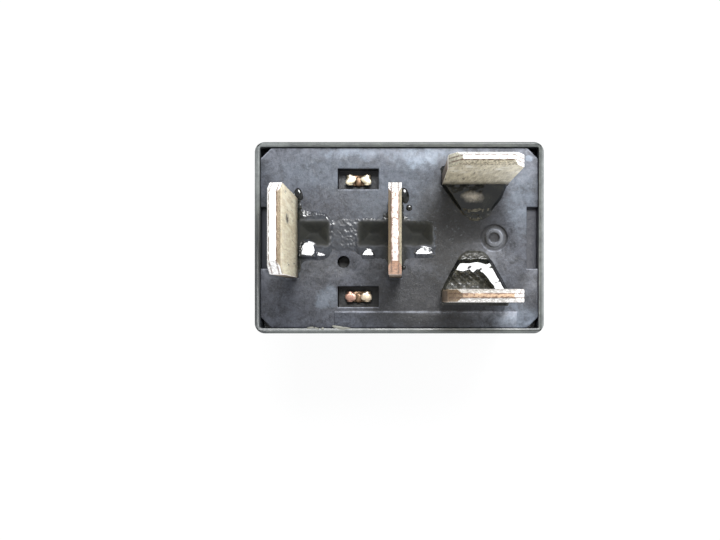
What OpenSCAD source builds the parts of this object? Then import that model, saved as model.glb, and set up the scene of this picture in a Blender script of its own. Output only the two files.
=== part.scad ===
// Sealed four-blade automotive relay. It stands on the closed end of its cover, blades up.
// The origin is the centre of that end, +X runs from the common blade to the coil blades,
// and +Z runs towards the blade tips.

/* [Cover] */
// Length of the cover along X
cover_l = 22.8; // [22.6:0.1:26]
// Width of the cover along Y
cover_w = 15.1; // [14.9:0.1:18]
// Height of the cover along Z
cover_h = 25.4; // [24.6:0.1:30]
// Side wall of the cover below its mouth
cover_wall = 0.9; // [0.7:0.05:1]
// Side wall of the cover around the base plate
mouth_wall = 0.4; // [0.3:0.05:0.6]
// Wall of the closed end
end_wall = 1.2; // [0.8:0.1:2]
// Radius of the outside edges
cover_r = 0.8; // [0.4:0.1:1.2]

/* [Base plate] */
// Thickness of the base plate
base_t = 2; // [1.9:0.1:2.6]
// Depth of the base plate's face below the cover's rim
base_recess = 0.3; // [0.1:0.05:0.8]
// Gap around the base plate
base_fit = 0.05; // [0.02:0.01:0.1]
// Chamfer of the base plate's corners
base_corner = 0.85; // [0.4:0.05:1.2]
// Width of the notch in each short side
notch_w = 4.9; // [3:0.1:7]
// Reach of the notch from the short side
notch_in = 0.9; // [0.5:0.05:1]
// Depth of the notch
notch_deep = 0.6; // [0.4:0.1:1.8]
// Height of the raised ledge along one long edge
ledge_h = 0.12; // [0.05:0.01:0.2]
// Width of the ledge
ledge_w = 1.25; // [0.6:0.05:1.35]
// Length of the ledge
ledge_l = 14.4; // [8:0.1:16]
// Distance of the ledge's middle from the centre
ledge_x = 2.1; // [0:0.1:3]
// Diameter of the vent hole
vent_d = 0.95; // [0.6:0.05:1.2]
// Depth of the vent hole
vent_deep = 1.4; // [0.8:0.1:1.6]
// Diameter of the round gate mark
gate_d = 2.1; // [1.6:0.1:2.6]
// Diameter of the gate mark's inner ring
gate_ring_d = 0.8; // [0.5:0.05:1.1]
// Width of that ring
gate_ring_w = 0.3; // [0.1:0.05:0.4]
// Depth of the gate mark
gate_deep = 0.15; // [0.05:0.01:0.2]
// Distance of the gate mark from the cover's end
gate_in = 3.9; // [3:0.1:5]
// Distance of the vent hole from the centre along X
vent_x = 4.4; // [4:0.1:5]
// Distance of the vent hole from the centre along Y
vent_y = 1.9; // [1.6:0.1:3]

/* [Blades] */
// Length of each blade beyond the base plate
blade_l = 11.4; // [8:0.1:14]
// Thickness of the blades
blade_t = 0.9; // [0.6:0.05:1]
// Width of the two load blades
load_w = 6.3; // [4.8:0.1:7.5]
// Width of the two coil blades
coil_w = 5.2; // [4.8:0.1:6.3]
// Width that each tip chamfer takes off
tip_in = 0.85; // [0.3:0.05:1.2]
// Length of the tip chamfers
tip_l = 1.8; // [1:0.1:3]
// Depth of the bevel on each face at a load blade's tip
bevel_in = 0.2; // [0.05:0.05:0.25]
// Depth of the bevel on each face at a coil blade's tip
coil_bevel_in = 0.3; // [0.05:0.05:0.35]
// Length of those bevels
bevel_l = 0.7; // [0.3:0.1:1.5]
// Distance of the common blade from the cover's end
common_in = 2.93; // [2.8:0.01:3.6]
// Distance of the make blade from the centre
make_x = 0.3; // [0.1:0.1:0.8]
// Distance of the coil blades' middle from the cover's end
coil_in = 5.44; // [5:0.01:6]
// Half of the pitch between the two coil blades
coil_blade_y = 4.62; // [4.5:0.01:5]
// Width of the strips that run inside the base plate
strip_w = 1.9; // [1.2:0.1:2.4]
// Sideways place of those strips
strip_y = 0.37; // [0:0.01:0.6]
// Width of the coil blades' legs
leg_w = 2; // [1.2:0.1:3]
// Clearance of the blades and strips in the base plate
slot_fit = 0.04; // [0.02:0.01:0.1]

/* [Stake windows] */
// Length of a window along X
window_l = 3.25; // [2.6:0.05:3.6]
// Width of a window along Y
window_w = 1.65; // [1.2:0.05:2]
// Depth of a window
window_deep = 1.3; // [0.8:0.1:1.4]
// Distance of the windows from the centre along X
window_x = 3.25; // [3:0.05:3.6]
// Distance of the windows from the centre along Y
window_y = 4.65; // [4.5:0.05:4.9]
// Width of a yoke tab along Y
tab_w = 0.8; // [0.6:0.05:1]
// Spread of a staked tab along X
stake_l = 1.95; // [1.6:0.05:2.2]
// Height of a staked tab above the window's floor
stake_h = 0.65; // [0.4:0.05:0.8]

/* [Sealant] */
// Height of the sealant along the load blades
seal_h = 0.8; // [0.4:0.1:1.2]
// Reach of the sealant beside a blade's faces
seal_reach = 0.55; // [0.3:0.05:0.8]
// Reach of the sealant past a blade's +Y edge
seal_over = 0.4; // [0.1:0.05:0.8]
// Bare length of a load blade at its -Y edge
seal_short = 0.75; // [0.3:0.05:1.5]
// Distance of the sealant's crown from its ends
seal_crown = 0.6; // [0.3:0.05:1]
// Widening of a pocket's mound beyond its strip
seal_wide = 0.6; // [0.3:0.05:1]
// Reach of the first coil blade's sealant towards the middle
seal_run_a = 2.4; // [1:0.1:3]
// Reach of the second coil blade's sealant towards the middle
seal_run_b = 3.25; // [1:0.05:3.5]
// Width of that reach at its end
seal_toe = 2; // [1:0.1:3]

/* [Magnet] */
// Thickness of the yoke
yoke_t = 1.2; // [1:0.1:1.4]
// Width of the yoke's leg
yoke_w = 10.1; // [10:0.1:11]
// Width of the yoke's foot
foot_w = 6.8; // [6:0.1:7.4]
// Gap between the base plate and the yoke's foot
foot_gap = 0.35; // [0.3:0.05:0.8]
// Radius of the core
core_r = 2; // [1.6:0.1:2.4]
// Radius of the core's riveted neck
neck_r = 1.4; // [1:0.1:1.5]
// Radius of the pole face
pole_r = 3.6; // [3:0.1:4.4]
// Thickness of the pole face
pole_t = 1; // [0.8:0.1:1.4]
// Height of the winding
coil_h = 13; // [10:0.1:13.4]
// Outer radius of the winding
coil_r = 4.5; // [3.6:0.1:4.6]
// Wall of the bobbin's barrel
barrel_wall = 0.65; // [0.5:0.05:0.9]
// Clearance between the core and the bobbin
core_fit = 0.05; // [0.02:0.01:0.1]
// Thickness of the bobbin's flanges
flange_t = 1; // [0.8:0.1:1.2]
// Half of the flanges' length along X
flange_half = 4.85; // [4.7:0.05:5]
// Depth of the coil legs in the upper flange
leg_seat = 0.6; // [0.3:0.05:0.7]
// Diameter of the lead wires
lead_d = 0.3; // [0.2:0.05:0.4]

/* [Armature] */
// Angle by which the armature opens
open_angle = 3; // [2:0.25:3.5]
// Gap at the pole face with the armature closed
pole_gap = 0.03; // [0.02:0.01:0.05]
// Thickness of the armature
arm_t = 1.2; // [1:0.1:1.4]
// Width of the armature
arm_w = 9; // [8:0.1:9.4]
// Gap between the armature's free end and the moving contact
arm_tip_gap = 1.1; // [0.5:0.05:1.6]
// Thickness of the contact spring
leaf_t = 0.2; // [0.15:0.01:0.25]
// Width of the contact spring
leaf_w = 5; // [4:0.1:6]
// Length of the contact spring's straight part on the yoke
leaf_seat = 11; // [10:0.1:12]
// Bulge of the contact spring past the yoke
leaf_bulge = 0.8; // [0.6:0.05:1.1]
// Radius of the contact spring's bend
leaf_r = 0.9; // [0.8:0.05:1]
// Gap between the contact post and the cover's wall
post_gap = 0.75; // [0.5:0.05:1]
// Diameter of the contacts
contact_d = 2.2; // [1.8:0.1:2.4]
// Thickness of each contact
contact_t = 0.6; // [0.4:0.05:0.8]
// Gap left between the closed contacts
contact_gap = 0.04; // [0.03:0.01:0.06]
// Diameter of the rivets
rivet_d = 1.2; // [0.8:0.1:1.4]
// Distance between two rivets
rivet_pitch = 3.4; // [2.4:0.1:3.6]
// Thickness of a rivet's head
rivet_head = 0.35; // [0.2:0.05:0.5]

/* [Hidden] */
$fn = 48;
cut = 0.5;                                    // how far a cutter runs past the face it cuts
static_fit = 0.02;                            // radial clearance of rivets and seated pieces

// Heights, from the cover's rim down
face_z = cover_h - base_recess;
under_z = face_z - base_t;
tip_z = face_z + blade_l;
strip_z = under_z + 0.15 * base_t;
pocket_z = strip_z + blade_t;
foot_top = under_z - foot_gap;
foot_z = foot_top - yoke_t;
coil_top = foot_z - flange_t;
coil_bottom = coil_top - coil_h;
pole_z = coil_bottom - flange_t - pole_t;

// Places along X, negative towards the common blade
base_l = cover_l - 2 * (mouth_wall + base_fit);
base_w = cover_w - 2 * (mouth_wall + base_fit);
yoke_out = -window_x - yoke_t / 2;
yoke_in = -window_x + yoke_t / 2;
coil_x = yoke_in + 0.15 + flange_half;
foot_end = coil_x + neck_r + 2;
flange_y = coil_blade_y + blade_t / 2 + 2 * lead_d;
common_x = cover_l / 2 - common_in;
coil_blade_x = cover_l / 2 - coil_in;
post_in = cover_l / 2 - cover_wall - post_gap - blade_t;
contact_x = post_in + blade_t + 0.1 - contact_d / 2;
arm_l = contact_x - contact_d / 2 - arm_tip_gap - yoke_out;
pocket_l = 2.5;                               // length of a sealant pocket beside a blade
seal_edge = 0.05;                             // thickness of the sealant's thin edge
seal_run = (common_x - make_x - blade_t) / 2 - 0.03;    // sealant between the two load blades
foot_plate_in = yoke_out - leaf_t;            // inner face of the common terminal's foot plate

// Armature, in its closed position
arm_top = pole_z - pole_gap;
arm_low = arm_top - arm_t;
leaf_low = arm_low - leaf_t;
yoke_rivet_z = [for (side = [-1, 1]) pole_z + leaf_seat / 2 + 2.4 + side * rivet_pitch / 2];
arm_rivet_x = yoke_out + 4.6;
fixed_z = arm_low + contact_t + contact_gap;
lug_z = fixed_z + contact_t;
leaf_top_z = pole_z + leaf_seat + 2;
foot_plate_z = yoke_rivet_z[0] - rivet_d;
foot_plate_w = 2 * rivet_d + leaf_w / 2;

// A block with its middle at [x, y] and its underside at z
module block(l, w, h, at) {
    translate([at[0] - l / 2, at[1] - w / 2, at[2]]) cube([l, w, h]);
}

// A block between two X values
module span(x0, x1, w, h, y, z) {
    block(x1 - x0, w, h, [(x0 + x1) / 2, y, z]);
}

// Everything in it turns from the closed to the open position about the pivot edge
module opened() {
    translate([yoke_out, 0, pole_z]) rotate([0, open_angle, 0]) translate([-yoke_out, 0, -pole_z])
        children();
}

module rounded_outline(l, w, r) {
    square([l - 2 * r, w], center = true);
    square([l, w - 2 * r], center = true);
    for (x = [-1, 1], y = [-1, 1])
        translate([x * (l / 2 - r), y * (w / 2 - r)]) circle(r);
}

// A box whose upright edges and lower edges are round
module round_bottom_box(l, w, h, r) {
    translate([0, 0, r]) linear_extrude(h - r) rounded_outline(l, w, r);
    block(l - 2 * r, w - 2 * r, r, [0, 0, 0]);
    for (y = [-1, 1]) translate([0, y * (w / 2 - r), r])
        rotate([0, 90, 0]) cylinder(h = l - 2 * r, r = r, center = true);
    for (x = [-1, 1]) translate([x * (l / 2 - r), 0, r])
        rotate([90, 0, 0]) cylinder(h = w - 2 * r, r = r, center = true);
    for (x = [-1, 1], y = [-1, 1]) translate([x * (l / 2 - r), y * (w / 2 - r), r]) sphere(r);
}

module cover() {
    color("#23272e") difference() {
        round_bottom_box(cover_l, cover_w, cover_h, cover_r);
        block(cover_l - 2 * cover_wall, cover_w - 2 * cover_wall, cover_h, [0, 0, end_wall]);
        block(cover_l - 2 * mouth_wall, cover_w - 2 * mouth_wall, base_t + base_recess + cut,
            [0, 0, under_z]);
    }
}

// Outline of the base plate, with chamfered corners
module base_outline() {
    l = base_l / 2;
    w = base_w / 2;
    c = base_corner;
    polygon([[-l, c - w], [c - l, -w], [l - c, -w], [l, c - w], [l, w - c], [l - c, w],
        [c - l, w], [-l, w - c]]);
}

// The raised ledge along the long edge on the -Y side
module ledge() {
    block(ledge_l, ledge_w, base_t / 2 + ledge_h,
        [ledge_x, (ledge_w - base_w) / 2, face_z - base_t / 2]);
}

// The round mark that the mould's gate leaves
module gate_cut() {
    translate([cover_l / 2 - gate_in, 0, face_z - gate_deep]) difference() {
        cylinder(h = gate_deep + cut, d = gate_d);
        translate([0, 0, -cut]) difference() {
            cylinder(h = gate_deep + cut, d = gate_ring_d + 2 * gate_ring_w);
            cylinder(h = 3 * cut, d = gate_ring_d, center = true);
        }
    }
}

// The room that the common terminal takes in the base plate
module common_cut() {
    grow = 2 * slot_fit;
    block(blade_t + grow, load_w + grow, base_t + cut, [-common_x, 0, strip_z]);
    span(-common_x - blade_t / 2 - slot_fit, foot_plate_in + slot_fit, strip_w + grow,
        pocket_z + slot_fit - under_z + cut, strip_y, under_z - cut);
    block(blade_t + grow, load_w + grow, strip_z - under_z + 2 * cut, [-common_x, 0, under_z - cut]);
    span(-common_x + blade_t / 2, -common_x + blade_t / 2 + pocket_l, strip_w, base_t + cut,
        strip_y, strip_z);
}

// The room that the make terminal takes in the base plate
module make_cut() {
    grow = 2 * slot_fit;
    block(blade_t + grow, load_w + grow, base_t + 2 * cut, [-make_x, 0, under_z - cut]);
    span(-make_x - blade_t / 2 - slot_fit, post_in + blade_t + slot_fit, strip_w + grow,
        pocket_z + slot_fit - under_z + cut, strip_y, under_z - cut);
    for (side = [-1, 1])
        block(pocket_l, strip_w, base_t + cut,
            [-make_x + side * (blade_t + pocket_l) / 2, strip_y, strip_z]);
}

module base() {
    color("#2b313b") difference() {
        union() {
            translate([0, 0, under_z]) linear_extrude(base_t) base_outline();
            ledge();
        }
        for (side = [-1, 1]) {
            block(2 * notch_in, notch_w, notch_deep + cut, [side * base_l / 2, 0, face_z - notch_deep]);
            block(window_l, window_w, window_deep + cut,
                [-window_x, side * window_y, face_z - window_deep]);
            block(yoke_t + 2 * static_fit, tab_w + 2 * static_fit, base_t + 2 * cut,
                [-window_x, side * window_y, under_z - cut]);
            block(coil_w + 2 * slot_fit, blade_t + 2 * slot_fit, base_t + 2 * cut,
                [coil_blade_x, side * coil_blade_y, under_z - cut]);
        }
        common_cut();
        make_cut();
        gate_cut();
        translate([-vent_x, -vent_y, face_z - vent_deep]) cylinder(h = vent_deep + cut, d = vent_d);
    }
}

// A blade that stands on z, thin along X, with chamfered corners and bevelled faces at its tip
module blade(w, z, bevel) {
    h = tip_z - z;
    thin = blade_t / 2 - bevel;
    translate([0, 0, z]) intersection() {
        rotate([90, 0, 90]) linear_extrude(blade_t, center = true)
            polygon([[-w / 2, 0], [w / 2, 0], [w / 2, h - tip_l], [w / 2 - tip_in, h],
                [tip_in - w / 2, h], [-w / 2, h - tip_l]]);
        rotate([90, 0, 0]) linear_extrude(w + cut, center = true)
            polygon([[-blade_t / 2, 0], [blade_t / 2, 0], [blade_t / 2, h - bevel_l], [thin, h],
                [-thin, h], [-blade_t / 2, h - bevel_l]]);
    }
}

module common_terminal() {
    color("#c9c3b4") difference() {
        union() {
            translate([-common_x, 0, 0]) blade(load_w, strip_z, bevel_in);
            span(-common_x, foot_plate_in, strip_w, blade_t, strip_y, strip_z);
            block(blade_t, strip_w, pocket_z - foot_plate_z, [foot_plate_in - blade_t / 2, strip_y,
                foot_plate_z]);
            block(blade_t, foot_plate_w, under_z - foot_gap - foot_plate_z,
                [foot_plate_in - blade_t / 2, 0, foot_plate_z]);
        }
        yoke_rivet_holes();
    }
}

module make_terminal() {
    color("#c9c3b4") difference() {
        union() {
            translate([-make_x, 0, 0]) blade(load_w, strip_z, bevel_in);
            span(-make_x, post_in + blade_t, strip_w, blade_t, strip_y, strip_z);
            block(blade_t, strip_w, pocket_z - lug_z, [post_in + blade_t / 2, strip_y, lug_z]);
            block(blade_t, contact_d, foot_z - lug_z, [post_in + blade_t / 2, 0, lug_z]);
            span(contact_x - contact_d / 2, post_in + blade_t, contact_d, blade_t, 0, lug_z);
        }
        translate([contact_x, 0, lug_z - cut])
            cylinder(h = blade_t + 2 * cut, d = contact_d / 2 + 2 * static_fit);
    }
}

// A coil blade on the +Y side, with the leg that stands in the bobbin's flange
module coil_terminal() {
    translate([coil_blade_x, coil_blade_y, 0]) {
        rotate([0, 0, 90]) blade(coil_w, under_z, coil_bevel_in);
        block(leg_w, blade_t, under_z - foot_z + leg_seat, [0, 0, foot_z - leg_seat]);
    }
}

module coil_terminal_a() {
    color("#b9b094") coil_terminal();
}

module coil_terminal_b() {
    color("#c9c3b4") mirror([0, 1, 0]) coil_terminal();
}

// A mound of sealant around a load blade, with the plugs that fill its pockets
module load_sealant(x, sides) {
    length = load_w + seal_over - seal_short;
    y = (seal_over + seal_short) / 2;
    difference() {
        union() {
            hull() {
                block(blade_t + 2 * seal_reach, length, seal_edge, [x, y, face_z]);
                block(blade_t + 0.2 * seal_reach, length - 2 * seal_crown, seal_h, [x, y, face_z]);
            }
            for (side = sides) hull() {
                block(seal_run, strip_w + 2 * seal_wide, seal_edge,
                    [x + side * (blade_t + seal_run) / 2, strip_y, face_z]);
                block(pocket_l, strip_w, 0.6 * seal_h, [x + side * pocket_l, strip_y, face_z]);
            }
            for (side = sides)
                block(pocket_l, strip_w, face_z - pocket_z + seal_edge,
                    [x + side * (blade_t + pocket_l) / 2, strip_y, pocket_z]);
        }
        block(blade_t, load_w, blade_l, [x, 0, pocket_z - cut]);
    }
}

module sealant_common() {
    color("#0b0b0e") load_sealant(-common_x, [1]);
}

module sealant_make() {
    color("#0b0b0e") load_sealant(-make_x, [-1, 1]);
}

// A mound of sealant that runs from a coil blade towards the middle, on the +Y side
module coil_sealant(run) {
    difference() {
        hull() {
            block(coil_w + 0.5 * seal_over, blade_t + 2 * seal_reach, seal_edge,
                [coil_blade_x, coil_blade_y, face_z]);
            block(coil_w - 2 * seal_crown, blade_t + 0.2 * seal_reach, 1.4 * seal_h,
                [coil_blade_x, coil_blade_y, face_z]);
            block(seal_toe, run, seal_edge,
                [coil_blade_x, coil_blade_y - (blade_t + run) / 2, face_z]);
        }
        block(coil_w, blade_t, blade_l, [coil_blade_x, coil_blade_y, face_z - cut]);
    }
}

module sealant_coil_a() {
    color("#0b0b0e") coil_sealant(seal_run_a);
}

module sealant_coil_b() {
    color("#0b0b0e") mirror([0, 1, 0]) coil_sealant(seal_run_b);
}

// The holes that the two yoke rivets pass through
module yoke_rivet_holes() {
    for (z = yoke_rivet_z) translate([yoke_out, 0, z]) rotate([0, 90, 0])
        cylinder(h = 3 * (yoke_t + blade_t), d = rivet_d + 2 * static_fit, center = true);
}

module yoke() {
    color("#b8bcc2") difference() {
        union() {
            block(yoke_t, yoke_w, foot_top - pole_z, [-window_x, 0, pole_z]);
            span(yoke_out, foot_end, foot_w, yoke_t, 0, foot_z);
            for (side = [-1, 1]) yoke_tab(side);
        }
        yoke_rivet_holes();
        translate([coil_x, 0, foot_z - cut]) cylinder(h = yoke_t + 2 * cut, r = neck_r + static_fit);
    }
}

// A tab that carries the base plate, with its end split and spread in the window
module yoke_tab(side) {
    floor_z = face_z - window_deep;
    lobe_r = 0.45 * stake_h;
    block(yoke_t, yoke_w / 2 - foot_w / 2, under_z - foot_top,
        [-window_x, side * (yoke_w + foot_w) / 4, foot_top]);
    block(yoke_t, tab_w, floor_z - under_z, [-window_x, side * window_y, under_z]);
    translate([-window_x, side * window_y, floor_z]) rotate([90, 0, 0])
        linear_extrude(tab_w, center = true)
        {
            polygon([[-yoke_t / 2, 0], [yoke_t / 2, 0], [stake_l / 2, stake_h - lobe_r],
                [0, 0.3 * stake_h], [-stake_l / 2, stake_h - lobe_r]]);
            for (lobe = [-1, 1])
                translate([lobe * (stake_l / 2 - lobe_r), stake_h - lobe_r]) circle(lobe_r);
        }
}

module core() {
    color("#aeb2b8") translate([coil_x, 0, 0]) {
        translate([0, 0, pole_z]) cylinder(h = pole_t, r = pole_r);
        translate([0, 0, pole_z]) cylinder(h = foot_z - pole_z, r = core_r);
        translate([0, 0, foot_z]) cylinder(h = yoke_t, r = neck_r);
        translate([0, 0, foot_top]) cylinder(h = 0.6 * foot_gap, r = neck_r + 0.3);
    }
}

// A stop finger that runs past the armature's edge and hooks under it, on the +Y side
module stop_finger() {
    hook_x = yoke_out + 0.8 * arm_l;
    finger_l = 1.2;
    inner_y = arm_w / 2 + 0.25;
    finger_t = 0.8;
    hook_at = 0.8 * arm_l - finger_l / 2;
    hook_z = arm_low - tan(open_angle) * (hook_at + finger_l) - 0.06;
    block(finger_l, finger_t, coil_bottom - hook_z + 0.7,
        [hook_x, inner_y + finger_t / 2, hook_z - 0.7]);
    block(finger_l, finger_t + 1, 0.7, [hook_x, inner_y + finger_t / 2 - 0.5, hook_z - 0.7]);
}

module bobbin() {
    color("#e7e2d2") difference() {
        union() {
            translate([coil_x, 0, coil_bottom - cut])
                cylinder(h = coil_h + 2 * cut, r = core_r + core_fit + barrel_wall);
            block(2 * flange_half, 2 * flange_y, flange_t, [coil_x, 0, coil_top]);
            block(2 * flange_half, arm_w + 2.1, flange_t, [coil_x, 0, coil_bottom - flange_t]);
            stop_finger();
            mirror([0, 1, 0]) stop_finger();
        }
        translate([coil_x, 0, coil_bottom - flange_t - cut])
            cylinder(h = coil_h + 2 * (flange_t + cut), r = core_r + core_fit);
        for (side = [-1, 1]) {
            block(leg_w + 2 * slot_fit, blade_t + 2 * slot_fit, leg_seat + cut + slot_fit,
                [coil_blade_x, side * coil_blade_y, foot_z - leg_seat - slot_fit]);
            block(2 * lead_d, 4 * lead_d, flange_t + 2 * cut,
                [coil_blade_x, side * (coil_blade_y + blade_t / 2 + 2 * lead_d), coil_top - cut]);
        }
    }
}

module winding() {
    bore = core_r + core_fit + barrel_wall;
    ridges = 26;
    step = coil_h / ridges;
    color("#b4572a") translate([coil_x, 0, coil_bottom]) rotate_extrude()
        polygon(concat([[bore, 0]], [for (i = [0:ridges - 1]) for (k = [0, 0.5])
            [coil_r - (k == 0 ? 0.12 : 0), (i + k) * step]], [[coil_r - 0.12, coil_h], [bore, coil_h]]));
}

// A straight round wire between two points, with round ends
module wire(a, b) {
    run = b - a;
    length = norm(run);
    translate(a) rotate([0, acos(run[2] / length), atan2(run[1], run[0])])
        cylinder(h = length, d = lead_d, $fn = 24);
    for (p = [a, b]) translate(p) sphere(d = lead_d, $fn = 24);
}

// The end of the winding, led up past the flange and along the coil terminal's leg
module lead_wire() {
    z = coil_top - 0.8 * lead_d;
    out = [coil_blade_x, coil_blade_y + blade_t / 2 + lead_d / 2];
    away = out - [coil_x, 0];
    on_coil = [coil_x, 0] + away * (coil_r + lead_d / 2) / norm(away);
    wire([on_coil[0], on_coil[1], z], [out[0], out[1], z]);
    wire([out[0], out[1], z], [out[0], out[1], under_z - lead_d]);
}

module lead_wire_a() {
    color("#c06a35") lead_wire();
}

module lead_wire_b() {
    color("#c06a35") mirror([0, 1, 0]) lead_wire();
}

module armature() {
    color("#b8bcc2") opened() difference() {
        span(yoke_out, yoke_out + arm_l, arm_w, arm_t, 0, arm_low);
        armature_rivet_holes();
    }
}

// The holes that the two armature rivets pass through
module armature_rivet_holes() {
    for (side = [-1, 1]) translate([arm_rivet_x, side * rivet_pitch / 2, arm_low])
        cylinder(h = 4 * arm_t, d = rivet_d + 2 * static_fit, center = true);
}

// The contact spring's middle line in the XZ plane, from the yoke down and round to its tip
function turned(p) = let (dx = p[0] - yoke_out, dz = p[1] - pole_z) [
    yoke_out + dx * cos(open_angle) + dz * sin(open_angle),
    pole_z - dx * sin(open_angle) + dz * cos(open_angle)
];
leaf_x = yoke_out - leaf_t / 2;
leaf_out = leaf_x - leaf_bulge;
leaf_from = turned([yoke_out, arm_low - leaf_t / 2]);
leaf_tip = turned([contact_x + contact_d / 2, arm_low - leaf_t / 2]);
bend_x = leaf_out + leaf_r;
bend_z = leaf_from[1] + (leaf_r - sin(open_angle) * (bend_x - leaf_from[0])) / cos(open_angle);
swell_top = pole_z + 2.4;
swell_low = pole_z + 0.6;
leaf_path = concat(
    [[leaf_x, leaf_top_z]],
    [for (i = [0:8]) [leaf_x - leaf_bulge * (1 - cos(i * 22.5)) / 2,
        swell_top + (swell_low - swell_top) * i / 8]],
    [for (i = [0:8]) let (a = 180 + (90 - open_angle) * i / 8)
        [bend_x + leaf_r * cos(a), bend_z + leaf_r * sin(a)]],
    [leaf_tip]
);
function unit(v) = v / norm(v);
function leaf_side(i, s) = let (
    last = len(leaf_path) - 1,
    way = unit(leaf_path[min(i + 1, last)] - leaf_path[max(i - 1, 0)])
) leaf_path[i] + s * leaf_t / 2 * [-way[1], way[0]];

module contact_spring() {
    last = len(leaf_path) - 1;
    color("#c58b4e") difference() {
        rotate([90, 0, 0]) linear_extrude(leaf_w, center = true)
            polygon(concat([for (i = [0:last]) leaf_side(i, 1)],
                [for (i = [0:last]) leaf_side(last - i, -1)]));
        yoke_rivet_holes();
        opened() {
            armature_rivet_holes();
            translate([contact_x, 0, arm_low])
                cylinder(h = 4 * leaf_t, d = contact_d / 2 + 2 * static_fit, center = true);
        }
    }
}

module moving_contact() {
    color("#d9dade") opened() translate([contact_x, 0, 0]) {
        translate([0, 0, arm_low]) cylinder(h = contact_t, d = contact_d);
        translate([0, 0, leaf_low]) cylinder(h = leaf_t, d = contact_d / 2);
        translate([0, 0, leaf_low - rivet_head]) cylinder(h = rivet_head, d = 0.7 * contact_d);
    }
}

module fixed_contact() {
    color("#d9dade") translate([contact_x, 0, 0]) {
        translate([0, 0, fixed_z]) cylinder(h = contact_t, d = contact_d);
        translate([0, 0, lug_z]) cylinder(h = blade_t, d = contact_d / 2);
    }
}

// A rivet along Z whose shank runs from z = 0 to h, with a head at each end
module rivet(h) {
    cylinder(h = h, d = rivet_d);
    translate([0, 0, -rivet_head]) cylinder(h = rivet_head, d = 1.6 * rivet_d);
    translate([0, 0, h]) cylinder(h = rivet_head, d = 1.6 * rivet_d);
}

module yoke_rivets() {
    color("#9a9ea4") for (z = yoke_rivet_z)
        translate([foot_plate_in - blade_t, 0, z]) rotate([0, 90, 0])
            rivet(blade_t + leaf_t + yoke_t);
}

module armature_rivets() {
    color("#9a9ea4") opened() for (side = [-1, 1])
        translate([arm_rivet_x, side * rivet_pitch / 2, leaf_low]) rivet_flush();
}

// A rivet whose upper end is flush with the armature, so that the pole face stays clear
module rivet_flush() {
    cylinder(h = leaf_t + arm_t, d = rivet_d);
    translate([0, 0, -rivet_head]) cylinder(h = rivet_head, d = 1.6 * rivet_d);
}

cover();
base();
common_terminal();
make_terminal();
coil_terminal_a();
coil_terminal_b();
sealant_common();
sealant_make();
sealant_coil_a();
sealant_coil_b();
yoke();
core();
bobbin();
winding();
lead_wire_a();
lead_wire_b();
armature();
contact_spring();
moving_contact();
fixed_contact();
yoke_rivets();
armature_rivets();
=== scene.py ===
"""Dresses the four-blade automotive relay: finishes, softened edges and poured sealant."""
import math

import bmesh
import bpy
import numpy as np
from mathutils import Matrix, Vector


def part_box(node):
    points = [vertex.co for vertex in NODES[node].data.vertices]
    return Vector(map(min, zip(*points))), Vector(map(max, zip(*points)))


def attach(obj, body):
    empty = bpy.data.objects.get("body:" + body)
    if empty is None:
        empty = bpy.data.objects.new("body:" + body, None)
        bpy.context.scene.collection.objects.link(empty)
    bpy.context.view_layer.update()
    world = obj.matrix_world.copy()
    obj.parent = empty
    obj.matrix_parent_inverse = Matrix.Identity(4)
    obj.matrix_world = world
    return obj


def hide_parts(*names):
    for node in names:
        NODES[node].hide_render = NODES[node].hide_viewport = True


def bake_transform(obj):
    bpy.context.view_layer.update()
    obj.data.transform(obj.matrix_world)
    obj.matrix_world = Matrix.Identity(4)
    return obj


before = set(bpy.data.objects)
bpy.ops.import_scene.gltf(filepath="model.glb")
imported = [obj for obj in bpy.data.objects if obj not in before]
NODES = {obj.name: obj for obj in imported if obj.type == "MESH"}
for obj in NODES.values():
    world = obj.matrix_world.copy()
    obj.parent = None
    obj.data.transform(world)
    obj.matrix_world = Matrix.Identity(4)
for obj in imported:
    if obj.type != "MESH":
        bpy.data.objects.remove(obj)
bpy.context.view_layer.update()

MM = 0.001
FLOOR_SIDE = 1.2      # side of the floor, in metres

# Places that come from the frame, in millimetres
RIM_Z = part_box("cover")[1].z / MM
BASE_RECESS = 0.3     # the base plate's face sits this far below the cover's rim
FACE_Z = RIM_Z - BASE_RECESS
TIP_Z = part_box("coil_terminal_a")[1].z / MM
BLADE_T = (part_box("coil_terminal_a")[1].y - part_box("coil_terminal_a")[0].y) / MM
LOAD_BEVEL, COIL_BEVEL = 0.2, 0.3    # depth of the coined sides at the blades' tips
COMMON_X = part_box("common_terminal")[0].x / MM + BLADE_T / 2
MAKE_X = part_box("make_terminal")[0].x / MM + BLADE_T / 2
LOAD_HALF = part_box("common_terminal")[1].y / MM
COIL_LOW, COIL_HIGH = [Vector(corner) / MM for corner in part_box("coil_terminal_a")]
COIL_X = (COIL_LOW.x + COIL_HIGH.x) / 2
COIL_Y = (COIL_LOW.y + COIL_HIGH.y) / 2
COIL_HALF = (COIL_HIGH.x - COIL_LOW.x) / 2
LIGHT_X = 0.12        # how far the light leans towards +X, per unit of height
SLOPE = 0.22          # rise per millimetre where the sealant mirrors the light to the camera
WINDOW_X, WINDOW_Y = -3.25, 4.65    # middle of the stake windows
STAKE_DOWN = 0.72     # the staked tabs' tops lie this far below the face
POCKET_L = 2.5        # length of a sealant pocket beside a blade
POCKET_Y = 0.37       # middle of the pockets along Y
POCKET_HALF = 0.95    # half of a pocket's width along Y
POCKET_DEEP = 0.9     # depth of a pocket below the base plate's face
WINDOW_HALF = (1.7, 0.85)    # halves of a stake window, with a little to spare
LEDGE_Y = -5.45       # the raised ledge begins past this place
NOTCH_IN, NOTCH_HALF = 10.0, 2.5    # the end notches begin at this X and reach this far along Y
SINK = -0.02          # the sealant's skin starts this far below the face
BURIED = -0.03        # its underside lies this far below the face
SEAL_STEP = 0.05      # spacing of the sealant's mesh
MELT = 0.03           # the skin ends this far outside its outline
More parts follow.
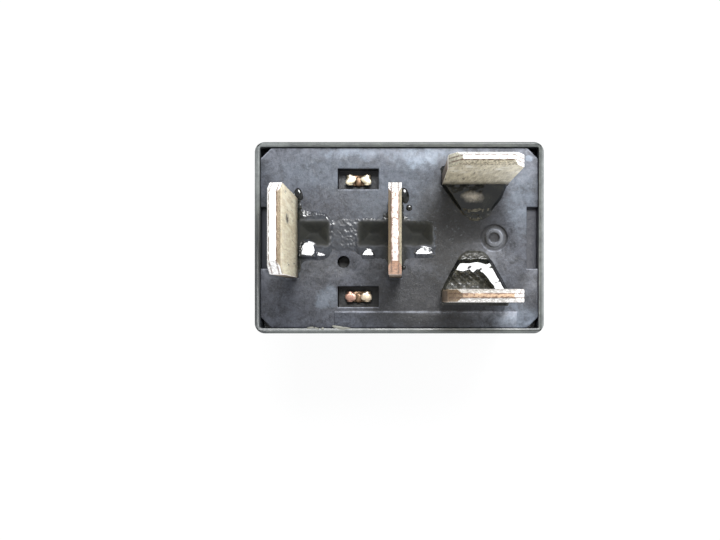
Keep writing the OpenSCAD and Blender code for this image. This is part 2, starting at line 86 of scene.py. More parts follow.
VENT_X, VENT_Y = -4.4, -1.9         # middle of the vent hole
GATE_X, GATE_Y = 7.5, 0.0           # middle of the moulding gate's mark
PIT = (0.13, 0.075, 0.05)    # brown where the tin plate is worn through


# ---------------------------------------------------------------- stage, light and camera

CAMERA_X = -0.074     # the camera looks straight down from here, in millimetres
CAMERA_Y = -4.92
CAMERA_UP = 72.7      # above the base plate's face
LENS = 46.0
SHIFT_X = -0.0533
SHIFT_Y = 0.0418


def make_camera():
    data = bpy.data.cameras.new("camera")
    data.lens = LENS
    data.sensor_width = 36.0
    data.shift_x = SHIFT_X
    data.shift_y = SHIFT_Y
    data.clip_start = 0.001
    camera = bpy.data.objects.new("camera", data)
    camera.location = Vector((CAMERA_X, CAMERA_Y, FACE_Z + CAMERA_UP)) * MM
    bpy.context.scene.collection.objects.link(camera)
    bpy.context.scene.camera = camera


def make_light(name, toward, strength, angle):
    """A soft sun that shines along the direction given by toward."""
    data = bpy.data.lights.new(name, "SUN")
    data.energy = strength
    data.angle = math.radians(angle)
    lamp = bpy.data.objects.new(name, data)
    lamp.rotation_euler = Vector(toward).to_track_quat("-Z", "Y").to_euler()
    bpy.context.scene.collection.objects.link(lamp)


def make_world():
    """Pale light, stronger from the right, and plain white to the camera, gloss and clear material."""
    world = bpy.data.worlds.new("world")
    bpy.context.scene.world = world
    world.use_nodes = True
    tree = world.node_tree
    tree.nodes.clear()
    path = tree.nodes.new("ShaderNodeLightPath")
    seen = tree.nodes.new("ShaderNodeMath")
    seen.operation = "MAXIMUM"
    tree.links.new(path.outputs["Is Camera Ray"], seen.inputs[0])
    tree.links.new(path.outputs["Is Transmission Ray"], seen.inputs[1])
    bright = tree.nodes.new("ShaderNodeMath")
    bright.operation = "MAXIMUM"
    tree.links.new(seen.outputs[0], bright.inputs[0])
    tree.links.new(path.outputs["Is Glossy Ray"], bright.inputs[1])
    white = tree.nodes.new("ShaderNodeBackground")
    white.inputs["Color"].default_value = (1, 1, 1, 1)
    white.inputs["Strength"].default_value = 1.0
    soft = tree.nodes.new("ShaderNodeBackground")
    soft.inputs["Color"].default_value = (0.95, 0.97, 1.0, 1)
    around = tree.nodes.new("ShaderNodeSeparateXYZ")
    tree.links.new(tree.nodes.new("ShaderNodeTexCoord").outputs["Generated"], around.inputs[0])
    side = tree.nodes.new("ShaderNodeMapRange")
    side.interpolation_type = "SMOOTHSTEP"
    side.inputs["To Min"].default_value = 0.32
    side.inputs["To Max"].default_value = 2.6
    tree.links.new(around.outputs["X"], side.inputs["Value"])
    tree.links.new(side.outputs["Result"], soft.inputs["Strength"])
    mix = tree.nodes.new("ShaderNodeMixShader")
    out = tree.nodes.new("ShaderNodeOutputWorld")
    tree.links.new(bright.outputs[0], mix.inputs["Fac"])
    tree.links.new(soft.outputs[0], mix.inputs[1])
    tree.links.new(white.outputs[0], mix.inputs[2])
    tree.links.new(mix.outputs[0], out.inputs["Surface"])


def make_floor():
    bpy.ops.mesh.primitive_plane_add(size=FLOOR_SIDE, location=(0, 0, 0))
    floor = bpy.context.object
    floor.name = "floor"
    material = bpy.data.materials.new("floor")
    material.use_nodes = True
    tree = material.node_tree
    shader = tree.nodes["Principled BSDF"]
    shader.inputs["Base Color"].default_value = (0.9, 0.9, 0.9, 1)
    shader.inputs["Roughness"].default_value = 0.8
    path = tree.nodes.new("ShaderNodeLightPath")
    share = tree.nodes.new("ShaderNodeMath")
    share.operation = "MULTIPLY"
    share.inputs[1].default_value = 0.94
    tree.links.new(path.outputs["Is Camera Ray"], share.inputs[0])
    glow = tree.nodes.new("ShaderNodeEmission")
    mix = tree.nodes.new("ShaderNodeMixShader")
    tree.links.new(share.outputs[0], mix.inputs["Fac"])
    tree.links.new(shader.outputs[0], mix.inputs[1])
    tree.links.new(glow.outputs[0], mix.inputs[2])
    tree.links.new(mix.outputs[0], tree.nodes["Material Output"].inputs["Surface"])
    floor.data.materials.append(material)


# ---------------------------------------------------------------- materials

class Finish:
    """A material with short calls for the nodes that the finishes here share."""

    def __init__(self, name, roughness, metallic=0.0, specular=0.5):
        self.material = bpy.data.materials.new(name)
        self.material.use_nodes = True
        self.tree = self.material.node_tree
        self.shader = self.tree.nodes["Principled BSDF"]
        self.shader.inputs["Roughness"].default_value = roughness
        self.shader.inputs["Metallic"].default_value = metallic
        self.shader.inputs["Specular IOR Level"].default_value = specular
        self.place = self.tree.nodes.new("ShaderNodeTexCoord").outputs["Object"]
        self.bumps = []
        self.ragged = None

    def stretched(self, scale):
        """Object coordinates scaled by an (x, y, z) tuple."""
        node = self.tree.nodes.new("ShaderNodeMapping")
        node.inputs["Scale"].default_value = scale
        self.tree.links.new(self.place, node.inputs["Vector"])
        return node.outputs["Vector"]

    def noise(self, size, detail=4.0, rough=0.55, place=None, distortion=0.0):
        """Noise whose features are about size millimetres across."""
        node = self.tree.nodes.new("ShaderNodeTexNoise")
        node.inputs["Scale"].default_value = 1.0 / (size * MM)
        node.inputs["Detail"].default_value = detail
        node.inputs["Roughness"].default_value = rough
        node.inputs["Distortion"].default_value = distortion
        self.tree.links.new(place or self.place, node.inputs["Vector"])
        return node.outputs["Fac"]

    def ramp(self, source, low, high, to_low=0.0, to_high=1.0):
        """source from low..high stretched to to_low..to_high, clamped."""
        node = self.tree.nodes.new("ShaderNodeMapRange")
        limits = {"From Min": low, "From Max": high, "To Min": to_low, "To Max": to_high}
        for socket, value in limits.items():
            node.inputs[socket].default_value = value
        self.tree.links.new(source, node.inputs["Value"])
        return node.outputs["Result"]

    def math(self, operation, a, b):
        node = self.tree.nodes.new("ShaderNodeMath")
        node.operation = operation
        for socket, value in zip(node.inputs, (a, b)):
            if isinstance(value, (int, float)):
                socket.default_value = value
            else:
                self.tree.links.new(value, socket)
        return node.outputs[0]

    def both(self, a, b):
        """The product of two shares."""
        return self.math("MULTIPLY", a, b)

    def mix(self, share, a, b):
        """Colour a, turning to b as share goes from 0 to 1."""
        node = self.tree.nodes.new("ShaderNodeMix")
        node.data_type = "RGBA"
        for socket, value in ((0, share), (6, a), (7, b)):
            if isinstance(value, tuple):
                node.inputs[socket].default_value = (*value, 1)
            elif isinstance(value, (int, float)):
                node.inputs[socket].default_value = value
            else:
                self.tree.links.new(value, node.inputs[socket])
        return node.outputs[2]

    def axis(self, name):
        """One coordinate in the row frame, in millimetres."""
        node = self.tree.nodes.new("ShaderNodeSeparateXYZ")
        self.tree.links.new(self.place, node.inputs[0])
        return self.math("DIVIDE", node.outputs[name], MM)

    def given(self, name):
        """A value that the piece's own mesh gives at each corner."""
        node = self.tree.nodes.new("ShaderNodeAttribute")
        node.attribute_name = name
        return node.outputs["Fac"]

    def facing(self, name):
        """One part of the surface's own direction."""
        normal = self.tree.nodes.new("ShaderNodeNewGeometry").outputs["True Normal"]
        node = self.tree.nodes.new("ShaderNodeSeparateXYZ")
        self.tree.links.new(normal, node.inputs[0])
        return node.outputs[name]

    def strip(self, axis, low, high, soft):
        """1 between two places along an axis, fading over soft millimetres at each side."""
        place = self.axis(axis)
        past_low = self.ramp(place, low - soft, low + soft)
        before_high = self.ramp(place, high + soft, high - soft)
        return self.both(past_low, before_high)

    def patch(self, x, y, half_x, half_y, soft, amount=1.0, wander=3.0):
        """amount inside a ragged oval around (x, y), fading to 0 over its soft share."""
        if self.ragged is None:
            self.ragged = [self.math("SUBTRACT", self.noise(size, 6.0, 0.65), 0.5) for size in (1.4, 1.7)]
            self.across = (self.axis("X"), self.axis("Y"))
        parts = []
        for place, ragged, middle, half in zip(self.across, self.ragged, (x, y), (half_x, half_y)):
            moved = self.math("ADD", place, self.both(ragged, wander))
            away = self.math("DIVIDE", self.math("SUBTRACT", moved, middle), half)
            parts.append(self.math("POWER", self.math("ABSOLUTE", away, 0), 2.0))
        reach = self.math("SQRT", self.math("ADD", *parts), 0)
        return self.ramp(reach, 1.0 + soft / 2, 1.0 - soft / 2, 0.0, amount)

    def total(self, shares):
        """The strongest of several shares at each point."""
        result = shares[0]
        for share in shares[1:]:
            result = self.math("MAXIMUM", result, share)
        return result

    def rounded(self, name, radius):
        """One part of the surface's direction, with its edges rounded by radius millimetres."""
        node = self.tree.nodes.new("ShaderNodeBevel")
        node.samples = 8
        node.inputs["Radius"].default_value = radius * MM
        parts = self.tree.nodes.new("ShaderNodeSeparateXYZ")
        self.tree.links.new(node.outputs["Normal"], parts.inputs[0])
        return parts.outputs[name]

    def soft_edges(self, radius):
        """Shades every edge as if rounded by radius millimetres."""
        node = self.tree.nodes.new("ShaderNodeBevel")
        node.samples = 8
        node.inputs["Radius"].default_value = radius * MM
        first = self.bumps[0]
        self.tree.links.new(node.outputs["Normal"], first.inputs["Normal"])

    def color(self, source):
        if isinstance(source, tuple):
            self.shader.inputs["Base Color"].default_value = (*source, 1)
        else:
            self.tree.links.new(source, self.shader.inputs["Base Color"])

    def roughness(self, source):
        self.tree.links.new(source, self.shader.inputs["Roughness"])

    def bump(self, source, depth, strength=1.0):
        """Adds relief of depth millimetres."""
        node = self.tree.nodes.new("ShaderNodeBump")
        node.inputs["Strength"].default_value = strength
        node.inputs["Distance"].default_value = depth * MM
        self.tree.links.new(source, node.inputs["Height"])
        if self.bumps:
            self.tree.links.new(self.bumps[-1].outputs["Normal"], node.inputs["Normal"])
        self.bumps.append(node)
        self.tree.links.new(node.outputs["Normal"], self.shader.inputs["Normal"])


def cover_finish():
    """Black moulded plastic with a fine spark-eroded grain, greyed by wear along its mouth, with painted
    shade at its -X end, painted light along its +X end and a painted highlight on the inner edge of its -Y
    side.
    """
    f = Finish("cover_finish", 0.4, specular=0.4)
    dust = f.ramp(f.noise(6.0, 5.0, 0.65), 0.45, 0.8, 0.0, 0.5)
    rubbed = f.ramp(f.noise(0.6, 7.0, 0.7), 0.3, 0.65, 0.35, 1.0)
    mouth = f.both(f.ramp(f.axis("Z"), RIM_Z - 0.5, RIM_Z - 0.02), rubbed)
    plain = f.mix(dust, (0.036, 0.040, 0.046), (0.075, 0.082, 0.090))
    # Painted shade darkens the mouth at its -X end, towards -Y. The paler patches are partly wear and partly
    # painted light, which brightens the whole +X end.
    dull = f.patch(-12.0, -3.4, 3.2, 4.6, 0.6, 1.0, 1.0)
    wear_and_painted_light = f.total([f.patch(-12.0, 6.0, 2.6, 3.0, 0.8, 0.5), f.patch(12.2, 0.0, 1.1, 9.0, 0.8, 0.9, 1.0)])
    tint = f.mix(dull, (0.115, 0.125, 0.118), (0.030, 0.034, 0.034))
    tint = f.mix(wear_and_painted_light, tint, (0.26, 0.28, 0.28))
    # Painted highlight on the rounded inner edge of the -Y side, which tilts towards the light
    inner = f.both(f.ramp(f.rounded("Y", 0.2), 0.1, 0.5), f.ramp(f.axis("Y"), 0.0, -1.0))
    tint = f.mix(inner, tint, (0.30, 0.31, 0.31))
    f.color(f.mix(mouth, plain, tint))
    f.roughness(f.ramp(f.noise(1.5, 6.0), 0.3, 0.7, 0.26, 0.5))
    f.bump(f.noise(0.16, 3.0, 0.6), 0.010)
    f.bump(f.noise(2.0, 2.0), 0.02, 0.5)
    return f.material


# Patches on the base plate: middle, halves, softness, strength and how far the outline wanders
# Paler patches: dust, with a painted sheen near the +Y edge
DUST_AND_SHEEN_SPOTS = (
    (1.6, 6.5, 2.4, 0.8, 1.0, 1.0, 3.0),
    (-3.4, 6.7, 2.4, 0.5, 1.0, 0.8, 3.0),
    (-6.0, 5.2, 4.0, 1.6, 0.9, 0.25, 3.0),
    (-0.2, 3.6, 3.2, 3.0, 0.8, 0.25, 3.0),
    (10.3, 6.3, 0.3, 0.25, 0.5, 1.0, 0.5),
    (9.7, 3.4, 1.2, 2.6, 0.8, 0.35, 3.0),
    (9.4, -6.3, 1.6, 1.0, 0.8, 0.5, 3.0),
    (-5.6, -4.6, 0.7, 0.9, 0.5, 0.4, 3.0),
)
# Darker patches: thin sealant smeared in the middle, and painted shadow where the blades shade the base
SMEAR_AND_SHADOW_SPOTS = (
    (4.0, 0.4, 3.2, 3.8, 0.7, 0.97, 3.0),
    (-9.0, -3.5, 4.5, 3.8, 0.6, 0.35, 3.0),
    (10.2, -4.6, 1.4, 1.6, 0.8, 0.45, 3.0),
    (1.8, -5.0, 5.0, 2.6, 0.7, 0.92, 3.0),
    (5.8, 2.2, 2.2, 1.7, 1.0, 1.0, 3.0),
)


def base_finish():
    """Dark blue-grey plastic, paler with dust and a painted sheen near its edges, darkened in the middle by
    thin sealant and by painted shadow of the blades, with painted highlights on edges that face the light
    and painted shade in its holes.
    """
    f = Finish("base_finish", 0.4, specular=0.35)
    pale = [f.patch(*spot) for spot in DUST_AND_SHEEN_SPOTS]
    dark = [f.patch(*spot) for spot in SMEAR_AND_SHADOW_SPOTS]
    blotch = f.ramp(f.noise(0.9, 9.0, 0.78, distortion=0.5), 0.42, 0.60)
    grit = f.ramp(f.noise(0.17, 5.0, 0.8), 0.40, 0.66)
    speck = f.ramp(f.noise(0.3, 6.0, 0.8), 0.58, 0.70)
    # Dust and painted sheen lighten the base towards bluish white
    dust_and_sheen = f.total(pale)
    tint = f.mix(blotch, (0.009, 0.010, 0.015), (0.062, 0.067, 0.086))
    tint = f.mix(f.both(grit, 0.5), tint, (0.100, 0.110, 0.132))
    dust_and_sheen_grain = f.ramp(f.noise(0.6, 8.0, 0.7), 0.35, 0.60, 0.25, 1.0)
    tint = f.mix(f.both(dust_and_sheen, dust_and_sheen_grain), tint, (0.26, 0.31, 0.38))
    # Painted shadow of the blades, with thin smeared sealant, darkens the base
    shaded = f.both(f.total(dark), f.ramp(grit, 0, 1, 1.0, 0.85))
    tint = f.mix(shaded, tint, (0.009, 0.009, 0.010))
    tint = f.mix(f.both(speck, f.ramp(dust_and_sheen, 0.0, 1.0, 0.3, 0.6)), tint, (0.20, 0.22, 0.25))
    # The gate mark: a painted highlight on the right of its inner ring, painted shade on the upper side of
    # its outer ring and in its middle
    ring = [f.patch(GATE_X, GATE_Y, size, size, 0.25, 1.0, 0.0) for size in (1.12, 0.86, 0.46)]
    right = f.ramp(f.axis("X"), GATE_X - 0.8, GATE_X + 0.5, 0.0, 0.75)
    lit = f.both(f.math("SUBTRACT", ring[1], ring[2]), right)
    upper = f.ramp(f.axis("Y"), GATE_Y - 0.8, GATE_Y + 0.4, 0.1, 0.85)
    shade = f.both(f.math("SUBTRACT", ring[0], ring[1]), upper)
    tint = f.mix(lit, tint, (0.15, 0.16, 0.18))
    tint = f.mix(f.math("MAXIMUM", shade, f.both(ring[2], 0.55)), tint, (0.010, 0.010, 0.012))
    # Painted highlight on rounded edges that tilt towards +Y, where the light comes from, except around the
    # vent
    painted_edge_highlight = f.both(f.ramp(f.rounded("Y", 0.16), 0.05, 0.35), f.ramp(f.facing("Z"), 0.9, 0.97))
    painted_edge_highlight = f.both(painted_edge_highlight, f.math("SUBTRACT", 1.0, f.patch(VENT_X, VENT_Y, 0.8, 0.8, 0.1, 1.0, 0.0)))
    tint = f.mix(f.both(painted_edge_highlight, f.ramp(blotch, 0, 1, 0.25, 0.8)), tint, (0.34, 0.36, 0.42))
    well = f.patch(VENT_X, VENT_Y, 0.62, 0.62, 0.06, 1.0, 0.0)
    height = f.axis("Z")
    window_x = f.strip("X", WINDOW_X - WINDOW_HALF[0], WINDOW_X + WINDOW_HALF[0], 0.05)
    window_y = f.strip("Y", -WINDOW_Y - WINDOW_HALF[1], -WINDOW_Y + WINDOW_HALF[1], 0.05)
    # Painted shade darkens what lies below the face in the middle of the plate
    middle = f.both(f.strip("X", -9.0, 9.0, 0.2), f.strip("Y", LEDGE_Y, 6.0, 0.1))
    inside = f.both(f.ramp(height, FACE_Z - 0.03, FACE_Z - 0.3), middle)
    tint = f.mix(f.both(inside, 0.85), tint, (0.008, 0.008, 0.010))
    far = f.ramp(f.math("ABSOLUTE", f.axis("X"), 0), NOTCH_IN, NOTCH_IN + 0.05)
    notch = f.both(far, f.strip("Y", -NOTCH_HALF, NOTCH_HALF, 0.05))
    sunk = f.ramp(height, FACE_Z - 0.1, FACE_Z - 0.3, 0.0, 0.9)
    tint = f.mix(f.both(notch, sunk), tint, (0.036, 0.038, 0.048))
    # Painted shade: the stake windows and the vent hole are near black inside
    window = f.both(f.both(window_x, window_y), f.ramp(height, FACE_Z - 0.05, FACE_Z - 0.2))
    hollow = f.both(well, f.ramp(height, FACE_Z - 0.005, FACE_Z - 0.02))
    f.color(f.mix(f.math("MAXIMUM", window, hollow), tint, (0.002, 0.002, 0.002)))
    f.roughness(f.ramp(f.noise(0.5, 8.0, 0.7), 0.3, 0.7, 0.30, 0.60))
    f.bump(f.noise(0.2, 5.0, 0.7), 0.03)
    f.bump(f.noise(1.1, 3.0), 0.03, 0.6)
    f.soft_edges(0.12)
    return f.material


WHITE, GOLD, BRONZE = (1.0, 0.98, 0.96), (1.0, 0.95, 0.76), (0.62, 0.50, 0.32)
COPPER, TAN, KHAKI = (0.62, 0.36, 0.23), (0.36, 0.26, 0.17), (0.72, 0.69, 0.56)

# Tints of a blade: its end, its faces and the dull parts of them, the coined sides and the cut corners
TIN = {
    "tip": WHITE,
    "face": GOLD,
    "dull": BRONZE,
    "low_side": WHITE,
    "high_side": WHITE,
    "low_corner": WHITE,
    "high_corner": WHITE,
}


def tin_finish(name, thick, wide, middle, bevel, wear, tints, streaks=0.0, dent=None):
    """Worn tin plate: bright at the tip, mottled faces, brown along the coined sides, and brown with painted
    shade low on the narrow sides and towards the root.

    thick and wide are the blade's axes, middle its place along thick and bevel the depth of its coined
    sides. wear is how far brown eats into the tip. tints is TIN or a changed copy of it. streaks is how
    bright the rubbed streaks are, and dent the place of a dark dent along the width and up.
    """
    f = Finish(name, 0.42, metallic=0.5)
    offset = f.math("SUBTRACT", f.axis(thick), middle)
    off = f.math("ABSOLUTE", offset, 0)
    across = f.math("ABSOLUTE", f.facing(thick), 0)
    along = f.facing(wide)
    drawn = f.stretched((1, 1, 0.12))
    mottle = f.ramp(f.noise(0.15, 6.0, 0.7, distortion=0.6), 0.38, 0.62)
    grain = f.ramp(f.noise(0.28, 5.0, 0.75, place=drawn), 0.42, 0.60)
    coarse = f.ramp(f.noise(0.8, 6.0, 0.7, place=f.stretched((1, 1, 0.25)), distortion=0.6), 0.42, 0.64)
    specks = f.ramp(f.noise(0.26, 3.0, 0.7, place=drawn), 0.60, 0.68)
    broad = f.ramp(f.noise(1.1, 7.0, 0.7, distortion=0.8), 0.50, 0.60, 0.0, streaks)
    line = f.ramp(f.noise(0.4, 5.0, 0.7), 0.36, 0.52)
    pits = f.ramp(f.noise(0.22, 8.0, 0.75), 0.62 - 0.14 * wear, 0.67 - 0.12 * wear)
    edge = BLADE_T / 2 - bevel
    near_tip = f.ramp(f.axis("Z"), TIP_Z - 2.0, TIP_Z - 1.75)

    end = f.mix(f.both(pits, 0.9), tints["tip"], PIT)
    low = f.both(f.ramp(along, -0.2, -0.35), near_tip)
    high = f.both(f.ramp(along, 0.2, 0.35), near_tip)
    low_corner = tints["low_corner"]
    end = f.mix(low, end, f.mix(mottle, low_corner, tuple(0.45 * c for c in low_corner)))
    end = f.mix(high, end, f.mix(pits, tints["high_corner"], PIT))
    # Painted shade, with brown, on the narrow sides below the tip
    narrow_brown_and_shade = f.ramp(f.math("ABSOLUTE", along, 0), 0.9, 0.97)
    narrow_brown_and_shade = f.both(narrow_brown_and_shade, f.ramp(f.axis("Z"), TIP_Z - 1.9, TIP_Z - 3.6))
    end = f.mix(narrow_brown_and_shade, end, f.mix(coarse, (0.20, 0.15, 0.11), (0.09, 0.065, 0.045)))
    dull = tints["dull"]
    flat = f.mix(f.both(grain, 0.62), tints["face"], dull)
    flat = f.mix(f.both(coarse, 0.35), flat, dull)
    flat = f.mix(f.both(specks, 0.8), flat, (0.16, 0.12, 0.07))
    rubbed = f.both(broad, f.ramp(f.axis("Z"), TIP_Z - 7.0, TIP_Z - 3.0))
    flat = f.mix(rubbed, flat, (1.0, 0.98, 0.92))
    if dent:
        width = f.strip(wide, dent[0] - 0.3, dent[0] + 0.3, 0.12)
        hole = f.both(width, f.strip("Z", dent[1] - 0.7, dent[1] + 0.7, 0.3))
        hole = f.both(hole, f.ramp(f.noise(0.25, 4.0, 0.7), 0.35, 0.5))
        flat = f.mix(hole, flat, (0.06, 0.045, 0.03))
    coined = f.both(f.ramp(across, 0.3, 0.5), near_tip)
    coined = f.both(coined, f.ramp(across, 0.992, 0.985))
    tint = f.mix(f.ramp(across, 0.85, 0.95), end, flat)
    side = f.mix(f.ramp(offset, -0.05, 0.05), tints["low_side"], tints["high_side"])
    side = f.mix(f.both(mottle, 0.85), side, tuple(0.25 * c for c in dull))
    tint = f.mix(coined, tint, side)
    rim = f.both(f.ramp(off, edge - 0.09, edge - 0.03), f.ramp(off, edge + 0.07, edge + 0.02))
    rim = f.both(f.both(rim, near_tip), line)
    tint = f.mix(f.both(rim, 0.9), tint, PIT)
    # Painted shade, with brown, darkens the blade towards its root
    root = f.ramp(f.axis("Z"), FACE_Z + 2.4, FACE_Z + 0.3)
    f.color(f.mix(f.both(root, f.ramp(mottle, 0, 1, 0.6, 0.95)), tint, (0.09, 0.075, 0.055)))
    f.roughness(f.ramp(f.noise(0.3, 5.0), 0.3, 0.7, 0.36, 0.58))
    f.bump(f.noise(0.16, 6.0, 0.7), 0.02)
    f.bump(f.noise(0.25, 2.0, place=f.stretched((1, 1, 0.06))), 0.008)
    return f.material


def film_finish():
    """Thin sealant, dusty like the base plate, and black where it is deep or close to a blade."""
    f = Finish("film_finish", 0.14, specular=0.38)
    near = [f.strip("X", x - BLADE_T / 2 - 0.55, x + BLADE_T / 2 + 0.55, 0.3) for x in (COMMON_X, MAKE_X)]
    dull = f.given("dull")
    blotch = f.ramp(f.noise(0.6, 7.0, 0.68, distortion=0.5), 0.36, 0.7)
    dusty = f.mix(blotch, (0.018, 0.020, 0.025), (0.060, 0.067, 0.082))
    dark = f.mix(blotch, (0.004, 0.005, 0.005), (0.015, 0.016, 0.013))
    share = f.math("MAXIMUM", f.ramp(dull, 0.3, 0.9), f.math("MAXIMUM", *near))
    f.color(f.mix(share, dusty, dark))
    f.roughness(f.ramp(dull, 0.0, 1.0, 0.09, 0.72))
    f.bump(f.noise(0.4, 3.0, 0.6), 0.006)
    return f.material


def heap_finish():
    """Black epoxy: glossy, with dull olive smears and one dried pale spot."""
    f = Finish("heap_finish", 0.09, specular=0.4)
    dull = f.given("dull")
    speckle = f.ramp(f.noise(0.2, 5.0, 0.7), 0.35, 0.65)
    smear = f.ramp(f.noise(1.1, 5.0, 0.6, distortion=0.5), 0.52, 0.75, 0.0, 0.8)
    spot = f.patch(5.75, 3.2, 0.55, 0.3, 1.4, 0.95, 1.0)
    spot = f.both(spot, f.ramp(speckle, 0, 1, 0.45, 1.0))
    tint = f.mix(smear, (0.004, 0.005, 0.005), (0.028, 0.029, 0.022))
    tint = f.mix(f.both(dull, f.ramp(speckle, 0, 1, 0.2, 1.0)), tint, (0.050, 0.050, 0.044))
    f.color(f.mix(spot, tint, (0.42, 0.385, 0.33)))
    f.roughness(f.ramp(dull, 0.0, 1.0, 0.09, 0.34))
    return f.material


def yoke_finish():
    """Plated steel; the staked ends in the windows are cream on one side and copper on the other."""
    f = Finish("yoke_finish", 0.35, metallic=0.7)
    top = f.ramp(f.axis("Z"), FACE_Z - 1.4, FACE_Z - 1.2)
    copper = f.both(f.ramp(f.axis("Y"), 0.5, -0.5), f.ramp(f.axis("X"), -2.9, -3.7, 0.35, 1.0))
    mottle = f.ramp(f.noise(0.25, 5.0), 0.35, 0.7)
    cream_stake = f.mix(mottle, (0.80, 0.74, 0.58), (0.52, 0.44, 0.30))
    copper_stake = f.mix(mottle, (0.40, 0.24, 0.19), (0.22, 0.12, 0.09))
    stake = f.mix(copper, cream_stake, copper_stake)
    low = f.ramp(f.axis("Z"), FACE_Z - STAKE_DOWN - 0.02, FACE_Z - STAKE_DOWN - 0.12)
    stake = f.mix(low, stake, (0.16, 0.10, 0.06))
    f.color(f.mix(top, (0.58, 0.58, 0.57), stake))
    f.bump(f.noise(0.12, 3.0), 0.01)
    return f.material


def plain_finish(name, color, roughness, metallic, grain, depth=0.01):
    """One colour with a fine grain, for pieces inside the cover."""
    f = Finish(name, roughness, metallic=metallic)
    shade = tuple(0.8 * c for c in color)
    f.color(f.mix(f.ramp(f.noise(grain * 8, 4.0), 0.35, 0.7), color, shade))
    f.bump(f.noise(grain, 3.0), depth)
    return f.material


# ---------------------------------------------------------------- pieces

def soften(piece, width, segments=3):
    """Rounds a CAD node's own sharp edges by width millimetres."""
    weld = piece.modifiers.new("weld", "WELD")
    weld.merge_threshold = 1e-6
    bevel = piece.modifiers.new("soft_edges", "BEVEL")
    bevel.width = width * MM
    bevel.segments = segments
    bevel.limit_method = "ANGLE"
    bevel.angle_limit = math.radians(28)
    bevel.harden_normals = True
    piece.data.shade_smooth()


def dress(node, material, edge=0.0):
    piece = NODES[node]
    piece.data.materials.clear()
    piece.data.materials.append(material)
    if edge:
        soften(piece, edge)


def box_distance(x, y, middle, half, radius):
    """Signed distance from a round-cornered rectangle, negative inside."""
    dx = np.abs(x - middle[0]) - (half[0] - radius)
    dy = np.abs(y - middle[1]) - (half[1] - radius)
    outside = np.hypot(np.maximum(dx, 0), np.maximum(dy, 0))
    return outside + np.minimum(np.maximum(dx, dy), 0) - radius


def joined(a, b, blend):
    """Smooth union of two distance fields."""
    h = np.clip(0.5 + 0.5 * (b - a) / blend, 0, 1)
    return b + (a - b) * h - blend * h * (1 - h)


def ramp(t):
    """A smooth step from 0 to 1 as t goes from 0 to 1."""
    t = np.clip(t, 0, 1)
    return t * t * (3 - 2 * t)


def ripples(x, y, size, seed, octaves=3):
    """Smooth seeded unevenness between about -1 and 1."""
    rng = np.random.default_rng(seed)
    total = np.zeros_like(x)
    for octave in range(octaves):
        for _ in range(6):
            angle, phase = rng.uniform(0, 2 * math.pi, 2)
            wave = 2 ** octave * rng.uniform(0.7, 1.4) / size
            along = x * math.cos(angle) + y * math.sin(angle)
            total += np.sin(along * wave * 2 * math.pi + phase) / 2 ** octave
    return total / (6 * (2 - 2.0 ** (1 - octaves)) * 0.5)


def pour(name, node, low, high, shape):
    """A closed skin of poured sealant.

    shape(x, y) gives its top and underside above the base plate's face, and how dull it is from 0 to 1.
    """
    nx = int(round((high[0] - low[0]) / SEAL_STEP)) + 1
    ny = int(round((high[1] - low[1]) / SEAL_STEP)) + 1
    x, y = np.meshgrid(np.linspace(low[0], high[0], nx), np.linspace(low[1], high[1], ny))
    top, under, dull = shape(x, y)
    inside = top > under + 0.004
    keep = inside[:-1, :-1] & inside[1:, :-1] & inside[:-1, 1:] & inside[1:, 1:]
    used = np.zeros_like(inside)
    for dy in (0, 1):
        for dx in (0, 1):
            used[dy:ny - 1 + dy, dx:nx - 1 + dx] |= keep
    number = -np.ones(used.shape, int)
    number[used] = np.arange(used.sum())
    count = int(used.sum())
    points = [np.stack([x[used], y[used], FACE_Z + z[used]], 1) for z in (top, under)]
    faces = []
    for j, i in zip(*np.nonzero(keep)):
        a, b, c, d = number[j, i], number[j, i + 1], number[j + 1, i + 1], number[j + 1, i]
        faces += [(a, b, c, d), (count + d, count + c, count + b, count + a)]
    edges = {}
    for j, i in zip(*np.nonzero(keep)):
        ring = (number[j, i], number[j, i + 1], number[j + 1, i + 1], number[j + 1, i])
        for k in range(4):
            edges[(ring[k], ring[(k + 1) % 4])] = True
    for a, b in edges:
        if (b, a) not in edges:
            faces.append((a, count + a, count + b, b))
    mesh = bpy.data.meshes.new(name)
    corners = [tuple(int(v) for v in face) for face in faces]
    mesh.from_pydata((np.vstack(points) * MM).tolist(), [], corners)
    mesh.update()
    mesh.shade_smooth()
    mesh.set_sharp_from_angle(angle=math.radians(50))
    given = mesh.attributes.new("dull", "FLOAT", "POINT")
    given.data.foreach_set("value", np.tile(dull[used], 2).astype(np.float32))
    piece = bpy.data.objects.new(name, mesh)
    bpy.context.scene.collection.objects.link(piece)
    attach(piece, "housing")
    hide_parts(node)
    return piece


def fade(value, zero, full):
    """0 at zero, 1 at full, straight between."""
    return np.clip((value - zero) / (full - zero), 0, 1)


def film(x, y):
    """Thin wrinkled sealant that runs between the pockets of the two load blades."""
    middle = (COMMON_X + MAKE_X) / 2
    area = box_distance(x, y, (middle, 0.2), (2.2, 1.45), 0.8) + 0.2 * ripples(x, y, 1.6, 40, 2)
    crinkled = fade(x, -5.0, -3.8) * fade(y, 2.2, 1.5)
    folds = ripples(x + 0.7 * y, 0.6 * y, 0.55, 41, 3) + 0.5 * ripples(x, y, 0.4, 42, 2)
    wrinkle = (0.006 + 0.017 * crinkled) * folds
    return area, ramp(-area / 0.7) * (0.045 + wrinkle)


